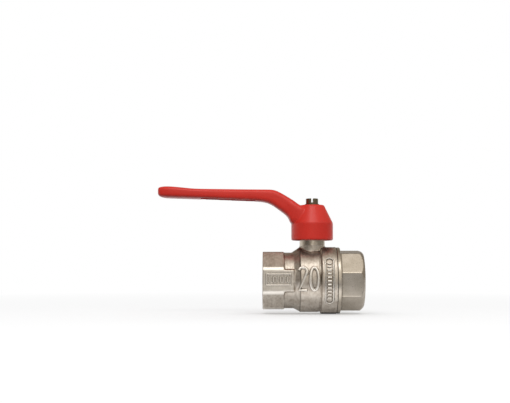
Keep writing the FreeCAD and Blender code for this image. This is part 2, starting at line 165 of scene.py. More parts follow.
def castSurface(piece, grain, passes):
    # one closed skin over all the overlapping solids, with its edges eased as a casting's are
    skin = piece.modifiers.new("skin", "REMESH")
    skin.mode = "VOXEL"
    skin.voxel_size = grain * mm
    ease = piece.modifiers.new("ease", "SMOOTH")
    ease.factor = 0.5
    ease.iterations = passes
    bakeModifiers(piece)


def finishPiece(piece, body, slotName, material, *nodes, smoothAngle=40):
    piece.data.transform(Matrix.Translation((stemX, 0, 0)))
    piece.data.materials.clear()
    piece.data.materials.append(material)
    for face in piece.data.polygons:
        face.use_smooth = True
    piece.data.set_sharp_from_angle(angle=math.radians(smoothAngle))
    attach(piece, body)
    if nodes:
        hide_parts(*nodes)


def toLinear(hexColour):
    parts = [int(hexColour[index:index + 2], 16) / 255 for index in (1, 3, 5)]
    return [part / 12.92 if part <= 0.04045 else ((part + 0.055) / 1.055) ** 2.4 for part in parts] + [1]


def feed(tree, socket, value):
    # links an output, or the first of a node's outputs; anything else becomes the socket's own value
    source = next(iter(value.values())) if isinstance(value, dict) else value
    if isinstance(source, bpy.types.NodeSocket):
        tree.links.new(source, socket)
    else:
        socket.default_value = source


def setStops(ramp, stops):
    elements = ramp.elements
    elements.remove(elements[1])
    elements[0].position = stops[0][0]
    elements[0].color = toLinear(stops[0][1])
    for position, colour in stops[1:]:
        elements.new(position).color = toLinear(colour)


def addNode(tree, kind, settings, *feeds, **named):
    # settings are the node's own; feeds go to its sockets in order, and named ones by the socket's name;
    # its outputs come back by name
    node = tree.nodes.new("ShaderNode" + kind)
    for key, value in settings.items():
        if key == "stops":
            setStops(node.color_ramp, value)
        else:
            setattr(node, key, value)
    sockets = [socket for socket in node.inputs if socket.enabled]
    for socket, value in zip(sockets, feeds):
        feed(tree, socket, value)
    for key, value in named.items():
        feed(tree, next(socket for socket in sockets if socket.name == key), value)
    return {socket.name: socket for socket in node.outputs if socket.enabled}


def feedShader(tree, shader, **sources):
    # spaces in the names of its sockets are written as underscores
    for name, source in sources.items():
        feed(tree, shader.inputs[name.replace("_", " ")], source)


def newMaterial(name, **settings):
    material = bpy.data.materials.new(name)
    material.use_nodes = True
    tree = material.node_tree
    shader = tree.nodes["Principled BSDF"]
    feedShader(tree, shader, **settings)
    place = addNode(tree, "TexCoord", {})["Object"]
    return material, tree, shader, place


# settings of Math nodes, and of a Mix node that multiplies colours
add = {"operation": "ADD"}
times = {"operation": "MULTIPLY"}
larger = {"operation": "MAXIMUM"}
multiplied = {"data_type": "RGBA", "blend_type": "MULTIPLY"}
noiseRange = (0.3, 0.7)  # where most of a noise's values lie


def perMm(size):
    return 1 / (size * mm)  # a pattern's scale from its real size in millimetres


def inMetres(zone, power=1):
    return [(edge * mm) ** power for edge in zone]  # a zone's two edges, or their squares


def creviceShade(tree, colour, reach):
    # painted shade: darkens the plating in corners and round raised marks, where ambient occlusion finds them
    opened = addNode(tree, "AmbientOcclusion", {"samples": 8}, Distance=reach * mm)["AO"]
    stops = [(0.35, "#3a322b"), (0.62, "#847a6f"), (0.86, "#ffffff")]
    shade = addNode(tree, "ValToRGB", {"stops": stops}, opened)
    return addNode(tree, "Mix", multiplied, 1, colour, shade)


# some of these zones place a painted highlight and a painted shade on the forging
zones = {  # where one finish of the forging gives way to the next, in millimetres
    # along the pipe from the inlet's face
    "faceCut": (0.08, 0.2), "octagon": (11.6, 12), "barrel": (12, 18), "pad": (16, 16.5),
    # radii about the pipe
    "portCut": (13.5, 13.7), "octagonEdge": (16.2, 16.4),
    # up from the pipe's axis, and across from it
    "bossCut": (18.7, 19.0), "padFace": (15.25, 15.45),
    # the step's distance from the stem's axis, and how far its painted shade reaches
    "step": 7.1, "stepShadeReach": (0.15, 0.45),
}


# Hot-forged brass, shot blasted and nickel plated: a warm grey metal with a soft sheen and a fine grain,
# cut bright and smooth where the lathe has been, on the stem's boss, in the ports and on the end face
def nickelForging(name, rubbed):
    material, tree, shader, place = newMaterial(name, Metallic=1, Roughness=0.4)
    axes = addNode(tree, "SeparateXYZ", {}, place)
    across = addNode(tree, "Math", {"operation": "ABSOLUTE"}, axes["Y"])
    acrossSquared = addNode(tree, "Math", {"operation": "POWER"}, axes["Y"], 2)
    upSquared = addNode(tree, "Math", {"operation": "POWER"}, axes["Z"], 2)
    outSquared = addNode(tree, "Math", add, acrossSquared, upSquared)  # from the pipe's axis
    onBoss = addNode(tree, "MapRange", {}, axes["Z"], *inMetres(zones["bossCut"]), 0, 1)
    inPort = addNode(tree, "MapRange", {}, outSquared, *inMetres(zones["portCut"], 2), 1, 0)
    onFace = addNode(tree, "MapRange", {}, axes["X"], *inMetres(zones["faceCut"]), 1, 0)
    cut = addNode(tree, "Math", larger, onBoss, addNode(tree, "Math", larger, inPort, onFace))
    cloud = addNode(tree, "TexNoise", {}, place, Scale=perMm(4), Detail=3)
    # the blast's real grain is nearer 0.15 mm and wouldn't show
    blast = addNode(tree, "TexNoise", {}, place, Scale=perMm(0.45), Detail=2)
    hollows = addNode(tree, "Mapping", {}, place, Scale=(1, 0.6, 0.6))
    dimple = addNode(tree, "TexNoise", {}, hollows, Scale=perMm(1.1), Detail=2)
    bands = addNode(tree, "Mapping", {}, place, Scale=(1, 0.08, 0.08))
    drag = addNode(tree, "TexNoise", {}, bands, Scale=perMm(0.8), Detail=3)
    blasted = addNode(tree, "MapRange", {}, blast, *noiseRange, 0.32, 0.48)
    sheen = addNode(tree, "Mix", {"data_type": "FLOAT"}, cut, blasted, 0.15)
    softCloud = addNode(tree, "Math", times, cloud, 0.5)
    mottle = addNode(tree, "Math", add, softCloud, addNode(tree, "Math", times, dimple, 0.5))
    stops = [(0.35, "#b5a99b"), (0.5, "#cfc5b9"), (0.65, "#dfd7cc")]
    plate = addNode(tree, "ValToRGB", {"stops": stops}, mottle)
    # painted shade: a dark line in the step where the barrel begins
    pastStep = addNode(tree, "Math", {"operation": "SUBTRACT"}, axes["X"], stemX - zones["step"] * mm)
    fromStep = addNode(tree, "Math", {"operation": "ABSOLUTE"}, pastStep)
    stepShade = addNode(tree, "MapRange", {}, fromStep, *inMetres(zones["stepShadeReach"]), 0.6, 0)
    plateWithStepShade = addNode(tree, "Mix", {"data_type": "RGBA"}, stepShade, plate, toLinear("#6f665b"))
    # painted highlight: lighter plating along the octagon's edges, on the pad's flat and over the raised
    # marks
    onOctagon = addNode(tree, "MapRange", {}, axes["X"], *inMetres(zones["octagon"]), 1, 0)
    onEdge = addNode(tree, "MapRange", {}, outSquared, *inMetres(zones["octagonEdge"], 2), 0, 0.75)
    edges = addNode(tree, "Math", times, onOctagon, onEdge)
    alongPad = addNode(tree, "MapRange", {}, axes["X"], *inMetres(zones["pad"]), 0.4, 0)
    onFlat = addNode(tree, "MapRange", {}, across, *inMetres(zones["padFace"]), 0, 1)
    onPad = addNode(tree, "Math", times, alongPad, onFlat)
    paintedHighlight = addNode(tree, "Math", larger, addNode(tree, "Math", larger, edges, onPad), rubbed)
    highlightedPlate = addNode(tree, "Mix", {"data_type": "RGBA"}, paintedHighlight, plateWithStepShade, toLinear("#fffaf2"))
    # streaks round the barrel, left by the die, and a coarser blast on the pad
    onBarrel = addNode(tree, "MapRange", {}, axes["X"], *inMetres(zones["barrel"]), 0.15, 1)
    streaks = addNode(tree, "Math", times, addNode(tree, "Math", times, drag, onBarrel), 0.8)
    coarser = addNode(tree, "MapRange", {}, onPad, 0, 0.4, 0.6, 2.2)
    peening = addNode(tree, "Math", times, blast, coarser)
    grain = addNode(tree, "Math", add, addNode(tree, "Math", add, streaks, dimple), peening)
    relief = addNode(tree, "Mix", {"data_type": "FLOAT"}, cut, grain, 1.25)
    bump = addNode(tree, "Bump", {}, Distance=0.05 * mm, Height=relief)
    feedShader(tree, shader, Base_Color=creviceShade(tree, highlightedPlate, 1.15), Roughness=sheen, Normal=bump)
    return material


# The same plating over turned brass: cleaner, with rings left by the lathe
def nickelTurned():
    material, tree, shader, place = newMaterial("nickelPlatedTurnedBrass", Metallic=1, Roughness=0.32)
    cloud = addNode(tree, "TexNoise", {}, place, Scale=perMm(5), Detail=3)
    cuts = addNode(tree, "Mapping", {}, place, Scale=(1, 0.03, 0.03))
    rings = addNode(tree, "TexNoise", {}, cuts, Scale=perMm(0.6), Detail=2)
    grain = addNode(tree, "TexNoise", {}, place, Scale=perMm(0.5), Detail=2)
    plate = addNode(tree, "ValToRGB", {"stops": [(0.3, "#c4baab"), (0.7, "#d6ccbf")]}, cloud)
    sheen = addNode(tree, "MapRange", {}, grain, *noiseRange, 0.26, 0.36)
    ringed = addNode(tree, "Bump", {}, Distance=0.012 * mm, Height=rings)
    bump = addNode(tree, "Bump", {}, Distance=0.014 * mm, Height=grain, Normal=ringed)
    feedShader(tree, shader, Base_Color=creviceShade(tree, plate, 1.2), Roughness=sheen, Normal=bump)
    return material


# Epoxy enamel over die-cast metal: a thick red film, satin, with a slight orange peel
def redEnamel():
    material, tree, shader, place = newMaterial("redEpoxyEnamel", Metallic=0, Roughness=0.4, IOR=1.48,
                                                Specular_IOR_Level=0.5)
    cloud = addNode(tree, "TexNoise", {}, place, Scale=perMm(14), Detail=2)
    peel = addNode(tree, "TexNoise", {}, place, Scale=perMm(1.3), Detail=1)
    speck = addNode(tree, "TexNoise", {}, place, Scale=perMm(0.25), Detail=1)
    red = addNode(tree, "ValToRGB", {"stops": [(0.3, "#ce271a"), (0.7, "#d82d1f")]}, cloud)
    sheen = addNode(tree, "MapRange", {}, speck, *noiseRange, 0.27, 0.36)
    peeled = addNode(tree, "Bump", {}, Distance=0.02 * mm, Height=peel)
    bump = addNode(tree, "Bump", {}, Distance=0.004 * mm, Height=speck, Normal=peeled)
    feedShader(tree, shader, Base_Color=red, Roughness=sheen, Normal=bump)
    return material


# Zinc-plated steel with a yellow passivate: olive to gold, with a faint play of tints
def passivatedSteel():
    material, tree, shader, place = newMaterial("yellowPassivatedSteel", Metallic=1, Roughness=0.32)
    tint = addNode(tree, "TexNoise", {}, place, Scale=perMm(2.2), Detail=2)
    speck = addNode(tree, "TexNoise", {}, place, Scale=perMm(0.3), Detail=1)
    stops = [(0.3, "#4f4a44"), (0.5, "#7f765f"), (0.7, "#877463")]
    passivate = addNode(tree, "ValToRGB", {"stops": stops}, tint)
    sheen = addNode(tree, "MapRange", {}, speck, *noiseRange, 0.34, 0.46)
    bump = addNode(tree, "Bump", {}, Distance=0.006 * mm, Height=speck)
    feedShader(tree, shader, Base_Color=passivate, Roughness=sheen, Normal=bump)
    return material


# Brass as turned from bar, unplated where the water and the grease keep it
def turnedBrass():
    material, tree, shader, place = newMaterial("turnedBareBrass", Metallic=1, Roughness=0.28)
    cloud = addNode(tree, "TexNoise", {}, place, Scale=perMm(4), Detail=2)
    cuts = addNode(tree, "Mapping", {}, place, Scale=(0.05, 0.05, 1))
    rings = addNode(tree, "TexNoise", {}, cuts, Scale=perMm(0.35), Detail=1)
    brass = addNode(tree, "ValToRGB", {"stops": [(0.3, "#c79d55"), (0.7, "#d6b26a")]}, cloud)
    sheen = addNode(tree, "MapRange", {}, cloud, *noiseRange, 0.22, 0.34)
    bump = addNode(tree, "Bump", {}, Distance=0.006 * mm, Height=rings)
    feedShader(tree, shader, Base_Color=brass, Roughness=sheen, Normal=bump)
    return material


# Hard chrome over a polished brass ball: bright, cool and nearly a mirror
def chromedBall():
    material, tree, shader, place = newMaterial("hardChromePolished", Metallic=1, Roughness=0.08)
    haze = addNode(tree, "TexNoise", {}, place, Scale=perMm(3), Detail=3)
    chrome = addNode(tree, "ValToRGB", {"stops": [(0.3, "#cfd0d1"), (0.7, "#dcdcdb")]}, haze)
    sheen = addNode(tree, "MapRange", {}, haze, *noiseRange, 0.05, 0.12)
    feedShader(tree, shader, Base_Color=chrome, Roughness=sheen)
    return material


# Sintered PTFE: waxy white with a faint mottle, slightly translucent
def ptfe():
    material, tree, shader, place = newMaterial("sinteredPtfe", Metallic=0, Roughness=0.5, IOR=1.35,
                                                Subsurface_Weight=0.15)
    mottle = addNode(tree, "TexNoise", {}, place, Scale=perMm(1.2), Detail=3)
    wax = addNode(tree, "ValToRGB", {"stops": [(0.3, "#dedcd4"), (0.7, "#eceae4")]}, mottle)
    sheen = addNode(tree, "MapRange", {}, mottle, *noiseRange, 0.42, 0.56)
    bump = addNode(tree, "Bump", {}, Distance=0.01 * mm, Height=mottle)
    feedShader(tree, shader, Base_Color=wax, Roughness=sheen, Normal=bump)
    return material


# Moulded nitrile rubber, greased: near black with a dull shine
def nitrile():
    material, tree, shader, place = newMaterial("mouldedNitrile", Metallic=0, Roughness=0.55, IOR=1.52)
    grain = addNode(tree, "TexNoise", {}, place, Scale=perMm(0.3), Detail=2)
    rubber = addNode(tree, "ValToRGB", {"stops": [(0.3, "#1b1b1b"), (0.7, "#262524")]}, grain)
    sheen = addNode(tree, "MapRange", {}, grain, *noiseRange, 0.45, 0.65)
    bump = addNode(tree, "Bump", {}, Distance=0.01 * mm, Height=grain)
    feedShader(tree, shader, Base_Color=rubber, Roughness=sheen, Normal=bump)
    return material


forged = nickelForging("nickelPlatedForgedBrass", 0)
# the raised marks' plating is painted lighter all over, as a highlight
highlightedMarks = nickelForging("nickelPlatedBrassRubbedBright", 0.8)
turnedPlate = nickelTurned()
enamel = redEnamel()
fixings = passivatedSteel()
nodeMaterials = {
    "ball": chromedBall(), "stem": turnedBrass(), "seat_ring_inlet": ptfe(), "stem_oring_lower": nitrile(),
}
sameAs = {
    "seat_ring_outlet": "seat_ring_inlet", "body_gasket": "seat_ring_inlet",
    "stem_thrust_washer": "seat_ring_inlet", "packing_ring_1": "seat_ring_inlet",
    "packing_ring_2": "seat_ring_inlet", "gland_nut": "stem", "stem_oring_upper": "stem_oring_lower",
}
nodeMaterials.update({node: nodeMaterials[model] for node, model in sameAs.items()})
for node, material in nodeMaterials.items():
    mesh = frame["nodes"][node].data
    mesh.materials.clear()
    mesh.materials.append(material)
print("materials made")


port = {
    "major": 13.22, "minor": 12.06, "pitch": 1.814, "threadLength": 11.6, "runout": 1.2,
    "mouthChamfer": 0.45, "flare": 0.3, "throatChamfer": 0.6, "waterway": 9.25,
    "ridgeRoot": 0.2, "ridgeInset": 0.3, "crestHalf": 0.17, "fadeTurns": 0.6, "stepsPerTurn": 96,
}
octagon = {"size": 31.0, "inletRound": 3.0, "outletRound": 0.3}


def portRoom(face, inward):
    # outline of a port from its face to the stem's axis; the thread's ridge is a piece of its own
    throat = face + inward * (port["threadLength"] + port["runout"])
    wide = port["major"] + port["flare"]
    outside = face - inward * past
    return [(outside, 0), (outside, wide), (face, wide),
            (face + inward * port["mouthChamfer"], port["major"]), (throat, port["major"]),
            (throat + inward * port["throatChamfer"], port["waterway"]), (0, port["waterway"]), (0, 0)]


def threadRidge(name, face, inward, body):
    # one helical ridge that rises out of the wall and sinks back into it
    turnSteps, inset, halfCrest = port["stepsPerTurn"], port["ridgeInset"], port["crestHalf"]
    base, crest, pitch = port["major"] + port["ridgeRoot"], port["minor"], port["pitch"]
    steps = round(((port["threadLength"] - 2 * inset) / pitch - 1) * turnSteps)
    start = min(face, face + inward * port["threadLength"]) + inset
    middle = start + 0.5 * pitch
    bm = bmesh.new()
    outline = [(start, base), (middle - halfCrest, crest), (middle + halfCrest, crest), (start + pitch, base)]
    verts = [bm.verts.new(Vector((along, 0, out)) * mm) for along, out in outline]
    edges = [bm.edges.new((verts[index - 1], verts[index])) for index in range(4)]
    bmesh.ops.spin(bm, geom=verts + edges, cent=(0, 0, 0), axis=(1, 0, 0), angle=math.tau * steps / turnSteps,
                   dvec=(pitch * mm / turnSteps, 0, 0), steps=steps)
    bmesh.ops.holes_fill(bm, edges=bm.edges, sides=4)
    length = steps / turnSteps * pitch
    for vert in bm.verts:
        radius = math.hypot(vert.co.y, vert.co.z) / mm
        along = vert.co.x / mm - start - (base - radius) / (base - crest) * 0.5 * pitch
        fade = min(1, max(0, min(along, length - along) / (port["fadeTurns"] * pitch)))
        if radius < base - port["ridgeRoot"] / 2:
            grow = (radius + (base - radius) * (1 - fade)) / radius
            vert.co.y, vert.co.z = vert.co.y * grow, vert.co.z * grow
    ridge = makePiece(name, bm)
    finishPiece(ridge, body, "nickel_plated_brass", turnedPlate)


forging = {
    "flatsEnd": -15.61, "neckRadius": 15.12, "neckStart": 4, "neckRound": 0.8,
    "shoulderStart": -10.3, "shoulderEnd": -6.9, "stepDepth": 0.4, "stepRun": 0.3,
    "barrelRadius": 17.1, "barrelRound": 0.25,
    "grooveDepth": 0.25, "grooveWidth": 1.2, "grooveLean": 0.35, "grooveRound": 0.2,
    "bandStart": 3.6, "bandRound": 0.7, "bandEdge": 0.3,
    "padEnd": -9.9, "padHalfHeight": 6.0, "padRound": 0.9,
    "bossRadius": 6.9, "bossFoot": 18.1, "bossRound": 0.6,
    "footWidth": 5.6, "footSlope": 34, "footRound": 0.8, "footSpread": 0.6, "footNarrowing": 0.66,
    "headRadius": 7.6, "headBottom": 22.5, "headTaper": 0.7, "headEdge": 0.3,
    "seatRadius": 12.6, "seatBack": 12.61, "seatFront": 8.2, "cavityGap": 0.4,
    "jointStep": 5.9, "jointBore": 15.95, "jointShift": 0.35,
    "flangeRoom": (5, 16.7, 5.46), "stemBore": 4.06,  # bottom, top and radius
    "packingRoom": (7, 5.36), "glandRoom": (3.4, 6.1),  # depth from the head's top, and radius
    "overlap": 1, "turnSteps": 96, "grain": 0.3, "passes": 4,
}


def forgedBody():
    size = forging
    face = bodyLow.x - stemAt
    bandEnd = bodyHigh.x - stemAt - size["jointShift"]
    bandRadius = bodyHigh.y
    lap = size["overlap"]
    bm = bmesh.new()
    addBar(bm, 8, octagon["size"], face, size["flatsEnd"], 0, octagon["inletRound"])
    addBarrel(bm, face, bandEnd, bandRadius)
    half = octagon["size"] / 2
    addBlock(bm, (size["flatsEnd"] - lap, -half, -size["padHalfHeight"]),
             (size["padEnd"], half, size["padHalfHeight"]), size["padRound"])
    addBoss(bm)
    piece = makePiece("valveBody", bm)
    castSurface(piece, size["grain"], size["passes"])
    bm = bmesh.new()
    spinOutline(bm, portRoom(face, 1), "pipe")
    carve(piece, makePiece("waterway", bm))
    bm = bmesh.new()
    cavity = ballRadius + size["cavityGap"]
    spinOutline(bm, [
        (-size["seatBack"], 0), (-size["seatBack"], size["seatRadius"]),
        (-size["seatFront"], size["seatRadius"]), (-size["seatFront"], cavity),
        (size["jointStep"], cavity), (size["jointStep"], size["jointBore"]),
        (bandEnd + lap, size["jointBore"]), (bandEnd + lap, 0)], "pipe")
    carve(piece, makePiece("ballChamber", bm))
    carve(piece, stemRoom())
    for side in (-1, 1):
        carve(piece, bandRecess(side, bandRadius))
    finishPiece(piece, "valve_body", "nickel_plated_brass", forged, "body")
    threadRidge("inletThread", face, 1, "valve_body")


def addBarrel(bm, face, bandEnd, bandRadius):
    # neck, shoulder with its step, barrel, groove and band, turned in one outline
    size = forging
    lap, neck, barrel = size["overlap"], size["neckRadius"], size["barrelRadius"]
    grooveEnd = size["bandStart"] + size["grooveWidth"] / 2
    grooveStart = grooveEnd - size["grooveWidth"]
    spinOutline(bm, roundedOutline([
        (face + size["neckStart"], 0, 0), (face + size["neckStart"], neck - lap, 0),
        (size["flatsEnd"] - lap, neck - lap, 0), (size["flatsEnd"] - lap, neck, 0),
        (size["shoulderStart"], neck, size["neckRound"]),
        (size["shoulderEnd"] - size["stepRun"], barrel - size["stepDepth"], 0),
        (size["shoulderEnd"], barrel, size["barrelRound"]), (grooveStart, barrel, size["grooveRound"]),
        (grooveStart + size["grooveLean"], barrel - size["grooveDepth"], 0),
        (grooveEnd, barrel - size["grooveDepth"], 0), (grooveEnd, bandRadius, size["bandRound"]),
        (bandEnd, bandRadius, size["bandEdge"]), (bandEnd, 0, 0)]), "pipe")


def addBoss(bm):
    # the stem's boss and its head, on a sloping foot that is narrower across the pipe than along it
    size = forging
    lap, boss, foot, head = size["overlap"], size["bossRadius"], size["bossFoot"], size["headBottom"]
    footDrop = size["footWidth"] * math.tan(math.radians(size["footSlope"]))
    before = set(bm.verts)
    spinOutline(bm, roundedOutline([
        (port["waterway"], 0, 0), (port["waterway"], boss + size["footWidth"] + size["footSpread"], 0),
        (foot - footDrop, boss + size["footWidth"], size["footRound"]), (foot, boss, size["bossRound"]),
        (foot + lap, boss, 0), (foot + lap, 0, 0)]), "stem", steps=size["turnSteps"])
    added = [vert for vert in bm.verts if vert not in before]
    bmesh.ops.scale(bm, verts=added, vec=(1, size["footNarrowing"], 1))
    spinOutline(bm, roundedOutline([
        (port["waterway"], 0, 0), (port["waterway"], boss, 0), (head, boss, 0),
        (head + size["headTaper"], size["headRadius"], 0), (bodyHigh.z, size["headRadius"], size["headEdge"]),
        (bodyHigh.z, 0, 0)]), "stem", steps=size["turnSteps"])


def stemRoom():
    # room for the stem's flange, the stem, its packing and the gland nut, from the ball upwards
    size = forging
    top = bodyHigh.z
    bottom, flangeTop, flangeRadius = size["flangeRoom"]
    packing, packingRadius = size["packingRoom"]
    gland, glandRadius = size["glandRoom"]
    bm = bmesh.new()
    spinOutline(bm, [
        (bottom, 0), (bottom, flangeRadius), (flangeTop, flangeRadius), (flangeTop, size["stemBore"]),
        (top - packing, size["stemBore"]), (top - packing, packingRadius), (top - gland, packingRadius),
        (top - gland, glandRadius), (top + size["overlap"], glandRadius), (top + size["overlap"], 0)],
        "stem", steps=size["turnSteps"])
    return makePiece("stemBore", bm)


marks = {
    "figureCentre": (-2.75, 1.1), "figureSize": (4.3, 12.2), "figureGap": 1.8, "figureStroke": 1.8,
    "figureRise": 0.85, "noughtSteps": 24, "twoFoot": (0.1, 0.05),
    "twoArc": (165, -35, 14),  # first and last angle, and steps
    "frame": (-25.2, -12.2, 2.9), "frameLift": 0.7,  # start, end and half height
    "frameStroke": 1.1, "frameRise": 0.55, "ribs": 6, "ribHalf": 1.5, "ribStroke": 0.9,
    "recess": (8.35, 2.6, 13.6), "recessDepth": 0.7,  # middle, half width and half height
    "recessTool": (8, 12), "floorLength": 20,  # start and length across the pipe
    "ovalStroke": 0.9, "ovalSink": 0.05, "rungs": 11, "rungHalf": 1.1, "rungPitch": 1.9,
    "grain": 0.13, "passes": 2,
}


def arcPoints(centre, radii, start, end, steps):
    angles = [math.radians(start + (end - start) * step / steps) for step in range(steps + 1)]
    return [(centre[0] + radii[0] * math.cos(turn), centre[1] + radii[1] * math.sin(turn)) for turn in angles]


def ovalPoints(centre, halfWidth, halfHeight):
    # an upright oval with half-round ends, as its outline's points
    straight = halfHeight - halfWidth
    steps = 12
    sides = [(centre + halfWidth, straight * (step / steps * 2 - 1)) for step in range(steps + 1)]
    top = arcPoints((centre, straight), (halfWidth, halfWidth), 0, 180, steps)
    others = [(2 * centre - along, -up) for along, up in sides + top[1:-1]]
    return sides + top[1:-1] + others


def onRound(radius, side):
    # wraps (along, up) on a cylinder about the pipe, on the front for side -1 and the back for side 1
    def place(along, up):
        turn = up / radius
        return Vector((along, side * radius * math.cos(turn), radius * math.sin(turn))) * mm
    return place


def onPad(side, depth):
    # the same on the flat of the pad
    def place(along, up):
        return Vector((along, side * depth, up)) * mm
    return place


def raiseStrokes(name, groups):
    # each group is (strokes, how they are placed, their width); a stroke is (points, closed)
    curve = bpy.data.curves.new(name, "CURVE")
    curve.dimensions = "3D"
    curve.bevel_depth = mm
    curve.bevel_resolution = 3
    curve.use_fill_caps = True
    for strokes, place, width in groups:
        for points, closed in strokes:
            spline = curve.splines.new("POLY")
            spline.points.add(len(points) - 1)
            for point, (along, up) in zip(spline.points, points):
                point.co = (*place(along, up), 1)
                point.radius = width / 2
            spline.use_cyclic_u = closed
    holder = bpy.data.objects.new(name, curve)
    bpy.context.scene.collection.objects.link(holder)
    bpy.context.view_layer.update()
    mesh = bpy.data.meshes.new_from_object(holder.evaluated_get(bpy.context.evaluated_depsgraph_get()))
    bpy.data.objects.remove(holder)
    piece = bpy.data.objects.new(name, mesh)
    bpy.context.scene.collection.objects.link(piece)
    castSurface(piece, marks["grain"], marks["passes"])
    finishPiece(piece, "valve_body", "nickel_plated_brass", highlightedMarks)


def bandRecess(side, bandRadius):
    # a shallow oval panel sunk in the band, as the tool that cuts it out
    bm = bmesh.new()
    centre, halfWidth, halfHeight = marks["recess"]
    nearEnd, length = marks["recessTool"]
    outline = ovalPoints(centre, halfWidth, bandRadius * math.sin(halfHeight / bandRadius))
    face = bm.faces.new([bm.verts.new(Vector((along, side * nearEnd, up)) * mm) for along, up in outline])
    pulled = bmesh.ops.extrude_face_region(bm, geom=[face])["geom"]
    bmesh.ops.translate(bm, verts=[vert for vert in pulled if isinstance(vert, bmesh.types.BMVert)],
                        vec=(0, side * length * mm, 0))
    panel = makePiece("bandRecess", bm)
    bm = bmesh.new()
    floor = bandRadius - marks["recessDepth"]
    end = marks["floorLength"]
    spinOutline(bm, [(0, 0), (0, floor), (end, floor), (end, 0)], "pipe")
    carve(panel, makePiece("recessFloor", bm))
    return panel


def figureStrokes():
    # a 2 and a 0 side by side, as strokes about their common middle
    width, height = marks["figureSize"]
    half, gap = width / 2, marks["figureGap"]
    start, end, steps = marks["twoArc"]
    two = arcPoints((half, height - half), (half, half), start, end, steps)
    two += [marks["twoFoot"], (width, 0)]
    around = 360 / marks["noughtSteps"]
    nought = arcPoints((width + gap + half, height / 2), (half, height / 2), 0, 360 - around,
                       marks["noughtSteps"] - 1)
    strokes = []
    for points, closed in ((two, False), (nought, True)):
        strokes.append(([(along - width - gap / 2, up - height / 2) for along, up in points], closed))
    return strokes


def frameStrokes():
    # a plain frame and the upright ribs in it
    start, end, halfHeight = marks["frame"]
    middle = marks["frameLift"]
    low, high = middle - halfHeight, middle + halfHeight
    frameLine = [(start, low), (end, low), (end, high), (start, high)]
    pitch = (end - start) / (marks["ribs"] + 1)
    ribs = []
    for rib in range(marks["ribs"]):
        along = start + pitch * (rib + 1)
        ribs.append(([(along, middle - marks["ribHalf"]), (along, middle + marks["ribHalf"])], False))
    return [(frameLine, True)], ribs


def rungStrokes():
    # an upright oval and the level rungs in it
    centre, halfWidth, halfHeight = marks["recess"]
    inset = marks["ovalStroke"] / 2
    oval = ovalPoints(centre, halfWidth - inset, halfHeight - inset)
    rungs = []
    for rung in range(marks["rungs"]):
        up = (rung - (marks["rungs"] - 1) / 2) * marks["rungPitch"]
        rungs.append(([(centre - marks["rungHalf"], up), (centre + marks["rungHalf"], up)], False))
    return [(oval, True)], rungs


def raisedMarks():
    # a plain size figure, a ribbed frame and a rung panel, the same on the front and the back
    middle, level = marks["figureCentre"]
    thick, fine, thin = marks["frameStroke"], marks["ribStroke"], marks["ovalStroke"]
    padTop = octagon["size"] / 2 + marks["frameRise"]
    figureRadius = forging["barrelRadius"] + marks["figureRise"] - marks["figureStroke"] / 2
    ovalRadius = bodyHigh.y - thin / 2 - marks["ovalSink"]
    frameLine, ribs = frameStrokes()
    oval, bars = rungStrokes()
    figures, frames, rungs = [], [], []
    for side in (-1, 1):
        digits = []
        for points, closed in figureStrokes():
            digits.append(([(middle - side * along, level + up) for along, up in points], closed))
        figures.append((digits, onRound(figureRadius, side), marks["figureStroke"]))
        frames.append((frameLine, onPad(side, padTop - thick / 2), thick))
        frames.append((ribs, onPad(side, padTop - fine / 2), fine))
        rungs.append((oval, onRound(ovalRadius, side), thin))
        rungs.append((bars, onRound(ovalRadius, side), thin))
    raiseStrokes("barrelFigure", figures)
    raiseStrokes("padFrame", frames)
    raiseStrokes("bandRungs", rungs)


cap = {
    "turn": 8.0, "collarLength": 1.95, "collarRound": 0.4, "collarEdge": 0.3, "faceEdge": 1.9,
    "trimRadius": 18, "spigotRadius": 15.7, "overlap": 1, "grain": 0.27, "passes": 1,
}


def endCap():
    face = capHigh.x - stemAt
    collarStart = bodyHigh.x - stemAt - forging["jointShift"]
    collarEnd = collarStart + cap["collarLength"]
    collarRadius = capHigh.y
    bm = bmesh.new()
    addBar(bm, 8, octagon["size"], collarStart + cap["overlap"], face, cap["turn"], octagon["outletRound"])
    piece = makePiece("endCap", bm)
    # a cone of 45 degrees takes the octagon's corners off at the face
    edge, rim = cap["faceEdge"] / 2, cap["trimRadius"]
    slope = octagon["size"] / 2 - edge
    bm = bmesh.new()
    spinOutline(bm, roundedOutline([
        (collarStart, 0, 0), (collarStart, rim, 0), (face - rim + slope, rim, 0), (face, slope, edge),
        (face, 0, 0)]), "pipe")
    carve(piece, makePiece("trim", bm), "INTERSECT")
    bm = bmesh.new()
    bm.from_mesh(piece.data)
    spinOutline(bm, roundedOutline([
        (capLow.x - stemAt, 0, 0), (capLow.x - stemAt, cap["spigotRadius"], 0),
        (collarStart, cap["spigotRadius"], 0), (collarStart, collarRadius, cap["collarEdge"]),
        (collarEnd, collarRadius, cap["collarRound"]), (collarEnd, 0, 0)]), "pipe")
    bpy.data.objects.remove(piece)
    piece = makePiece("endCap", bm)
    castSurface(piece, cap["grain"], cap["passes"])
    bm = bmesh.new()
    spinOutline(bm, portRoom(face, -1), "pipe")
    carve(piece, makePiece("rooms", bm))
    bm = bmesh.new()
    seat, back = forging["seatRadius"], forging["seatBack"]
    spinOutline(bm, [(0, 0), (0, seat), (back, seat), (back, 0)], "pipe")
    carve(piece, makePiece("seatRoom", bm))
    finishPiece(piece, "valve_body", "nickel_plated_brass", turnedPlate, "end_cap", smoothAngle=15)
    threadRidge("outletThread", face, -1, "valve_body")


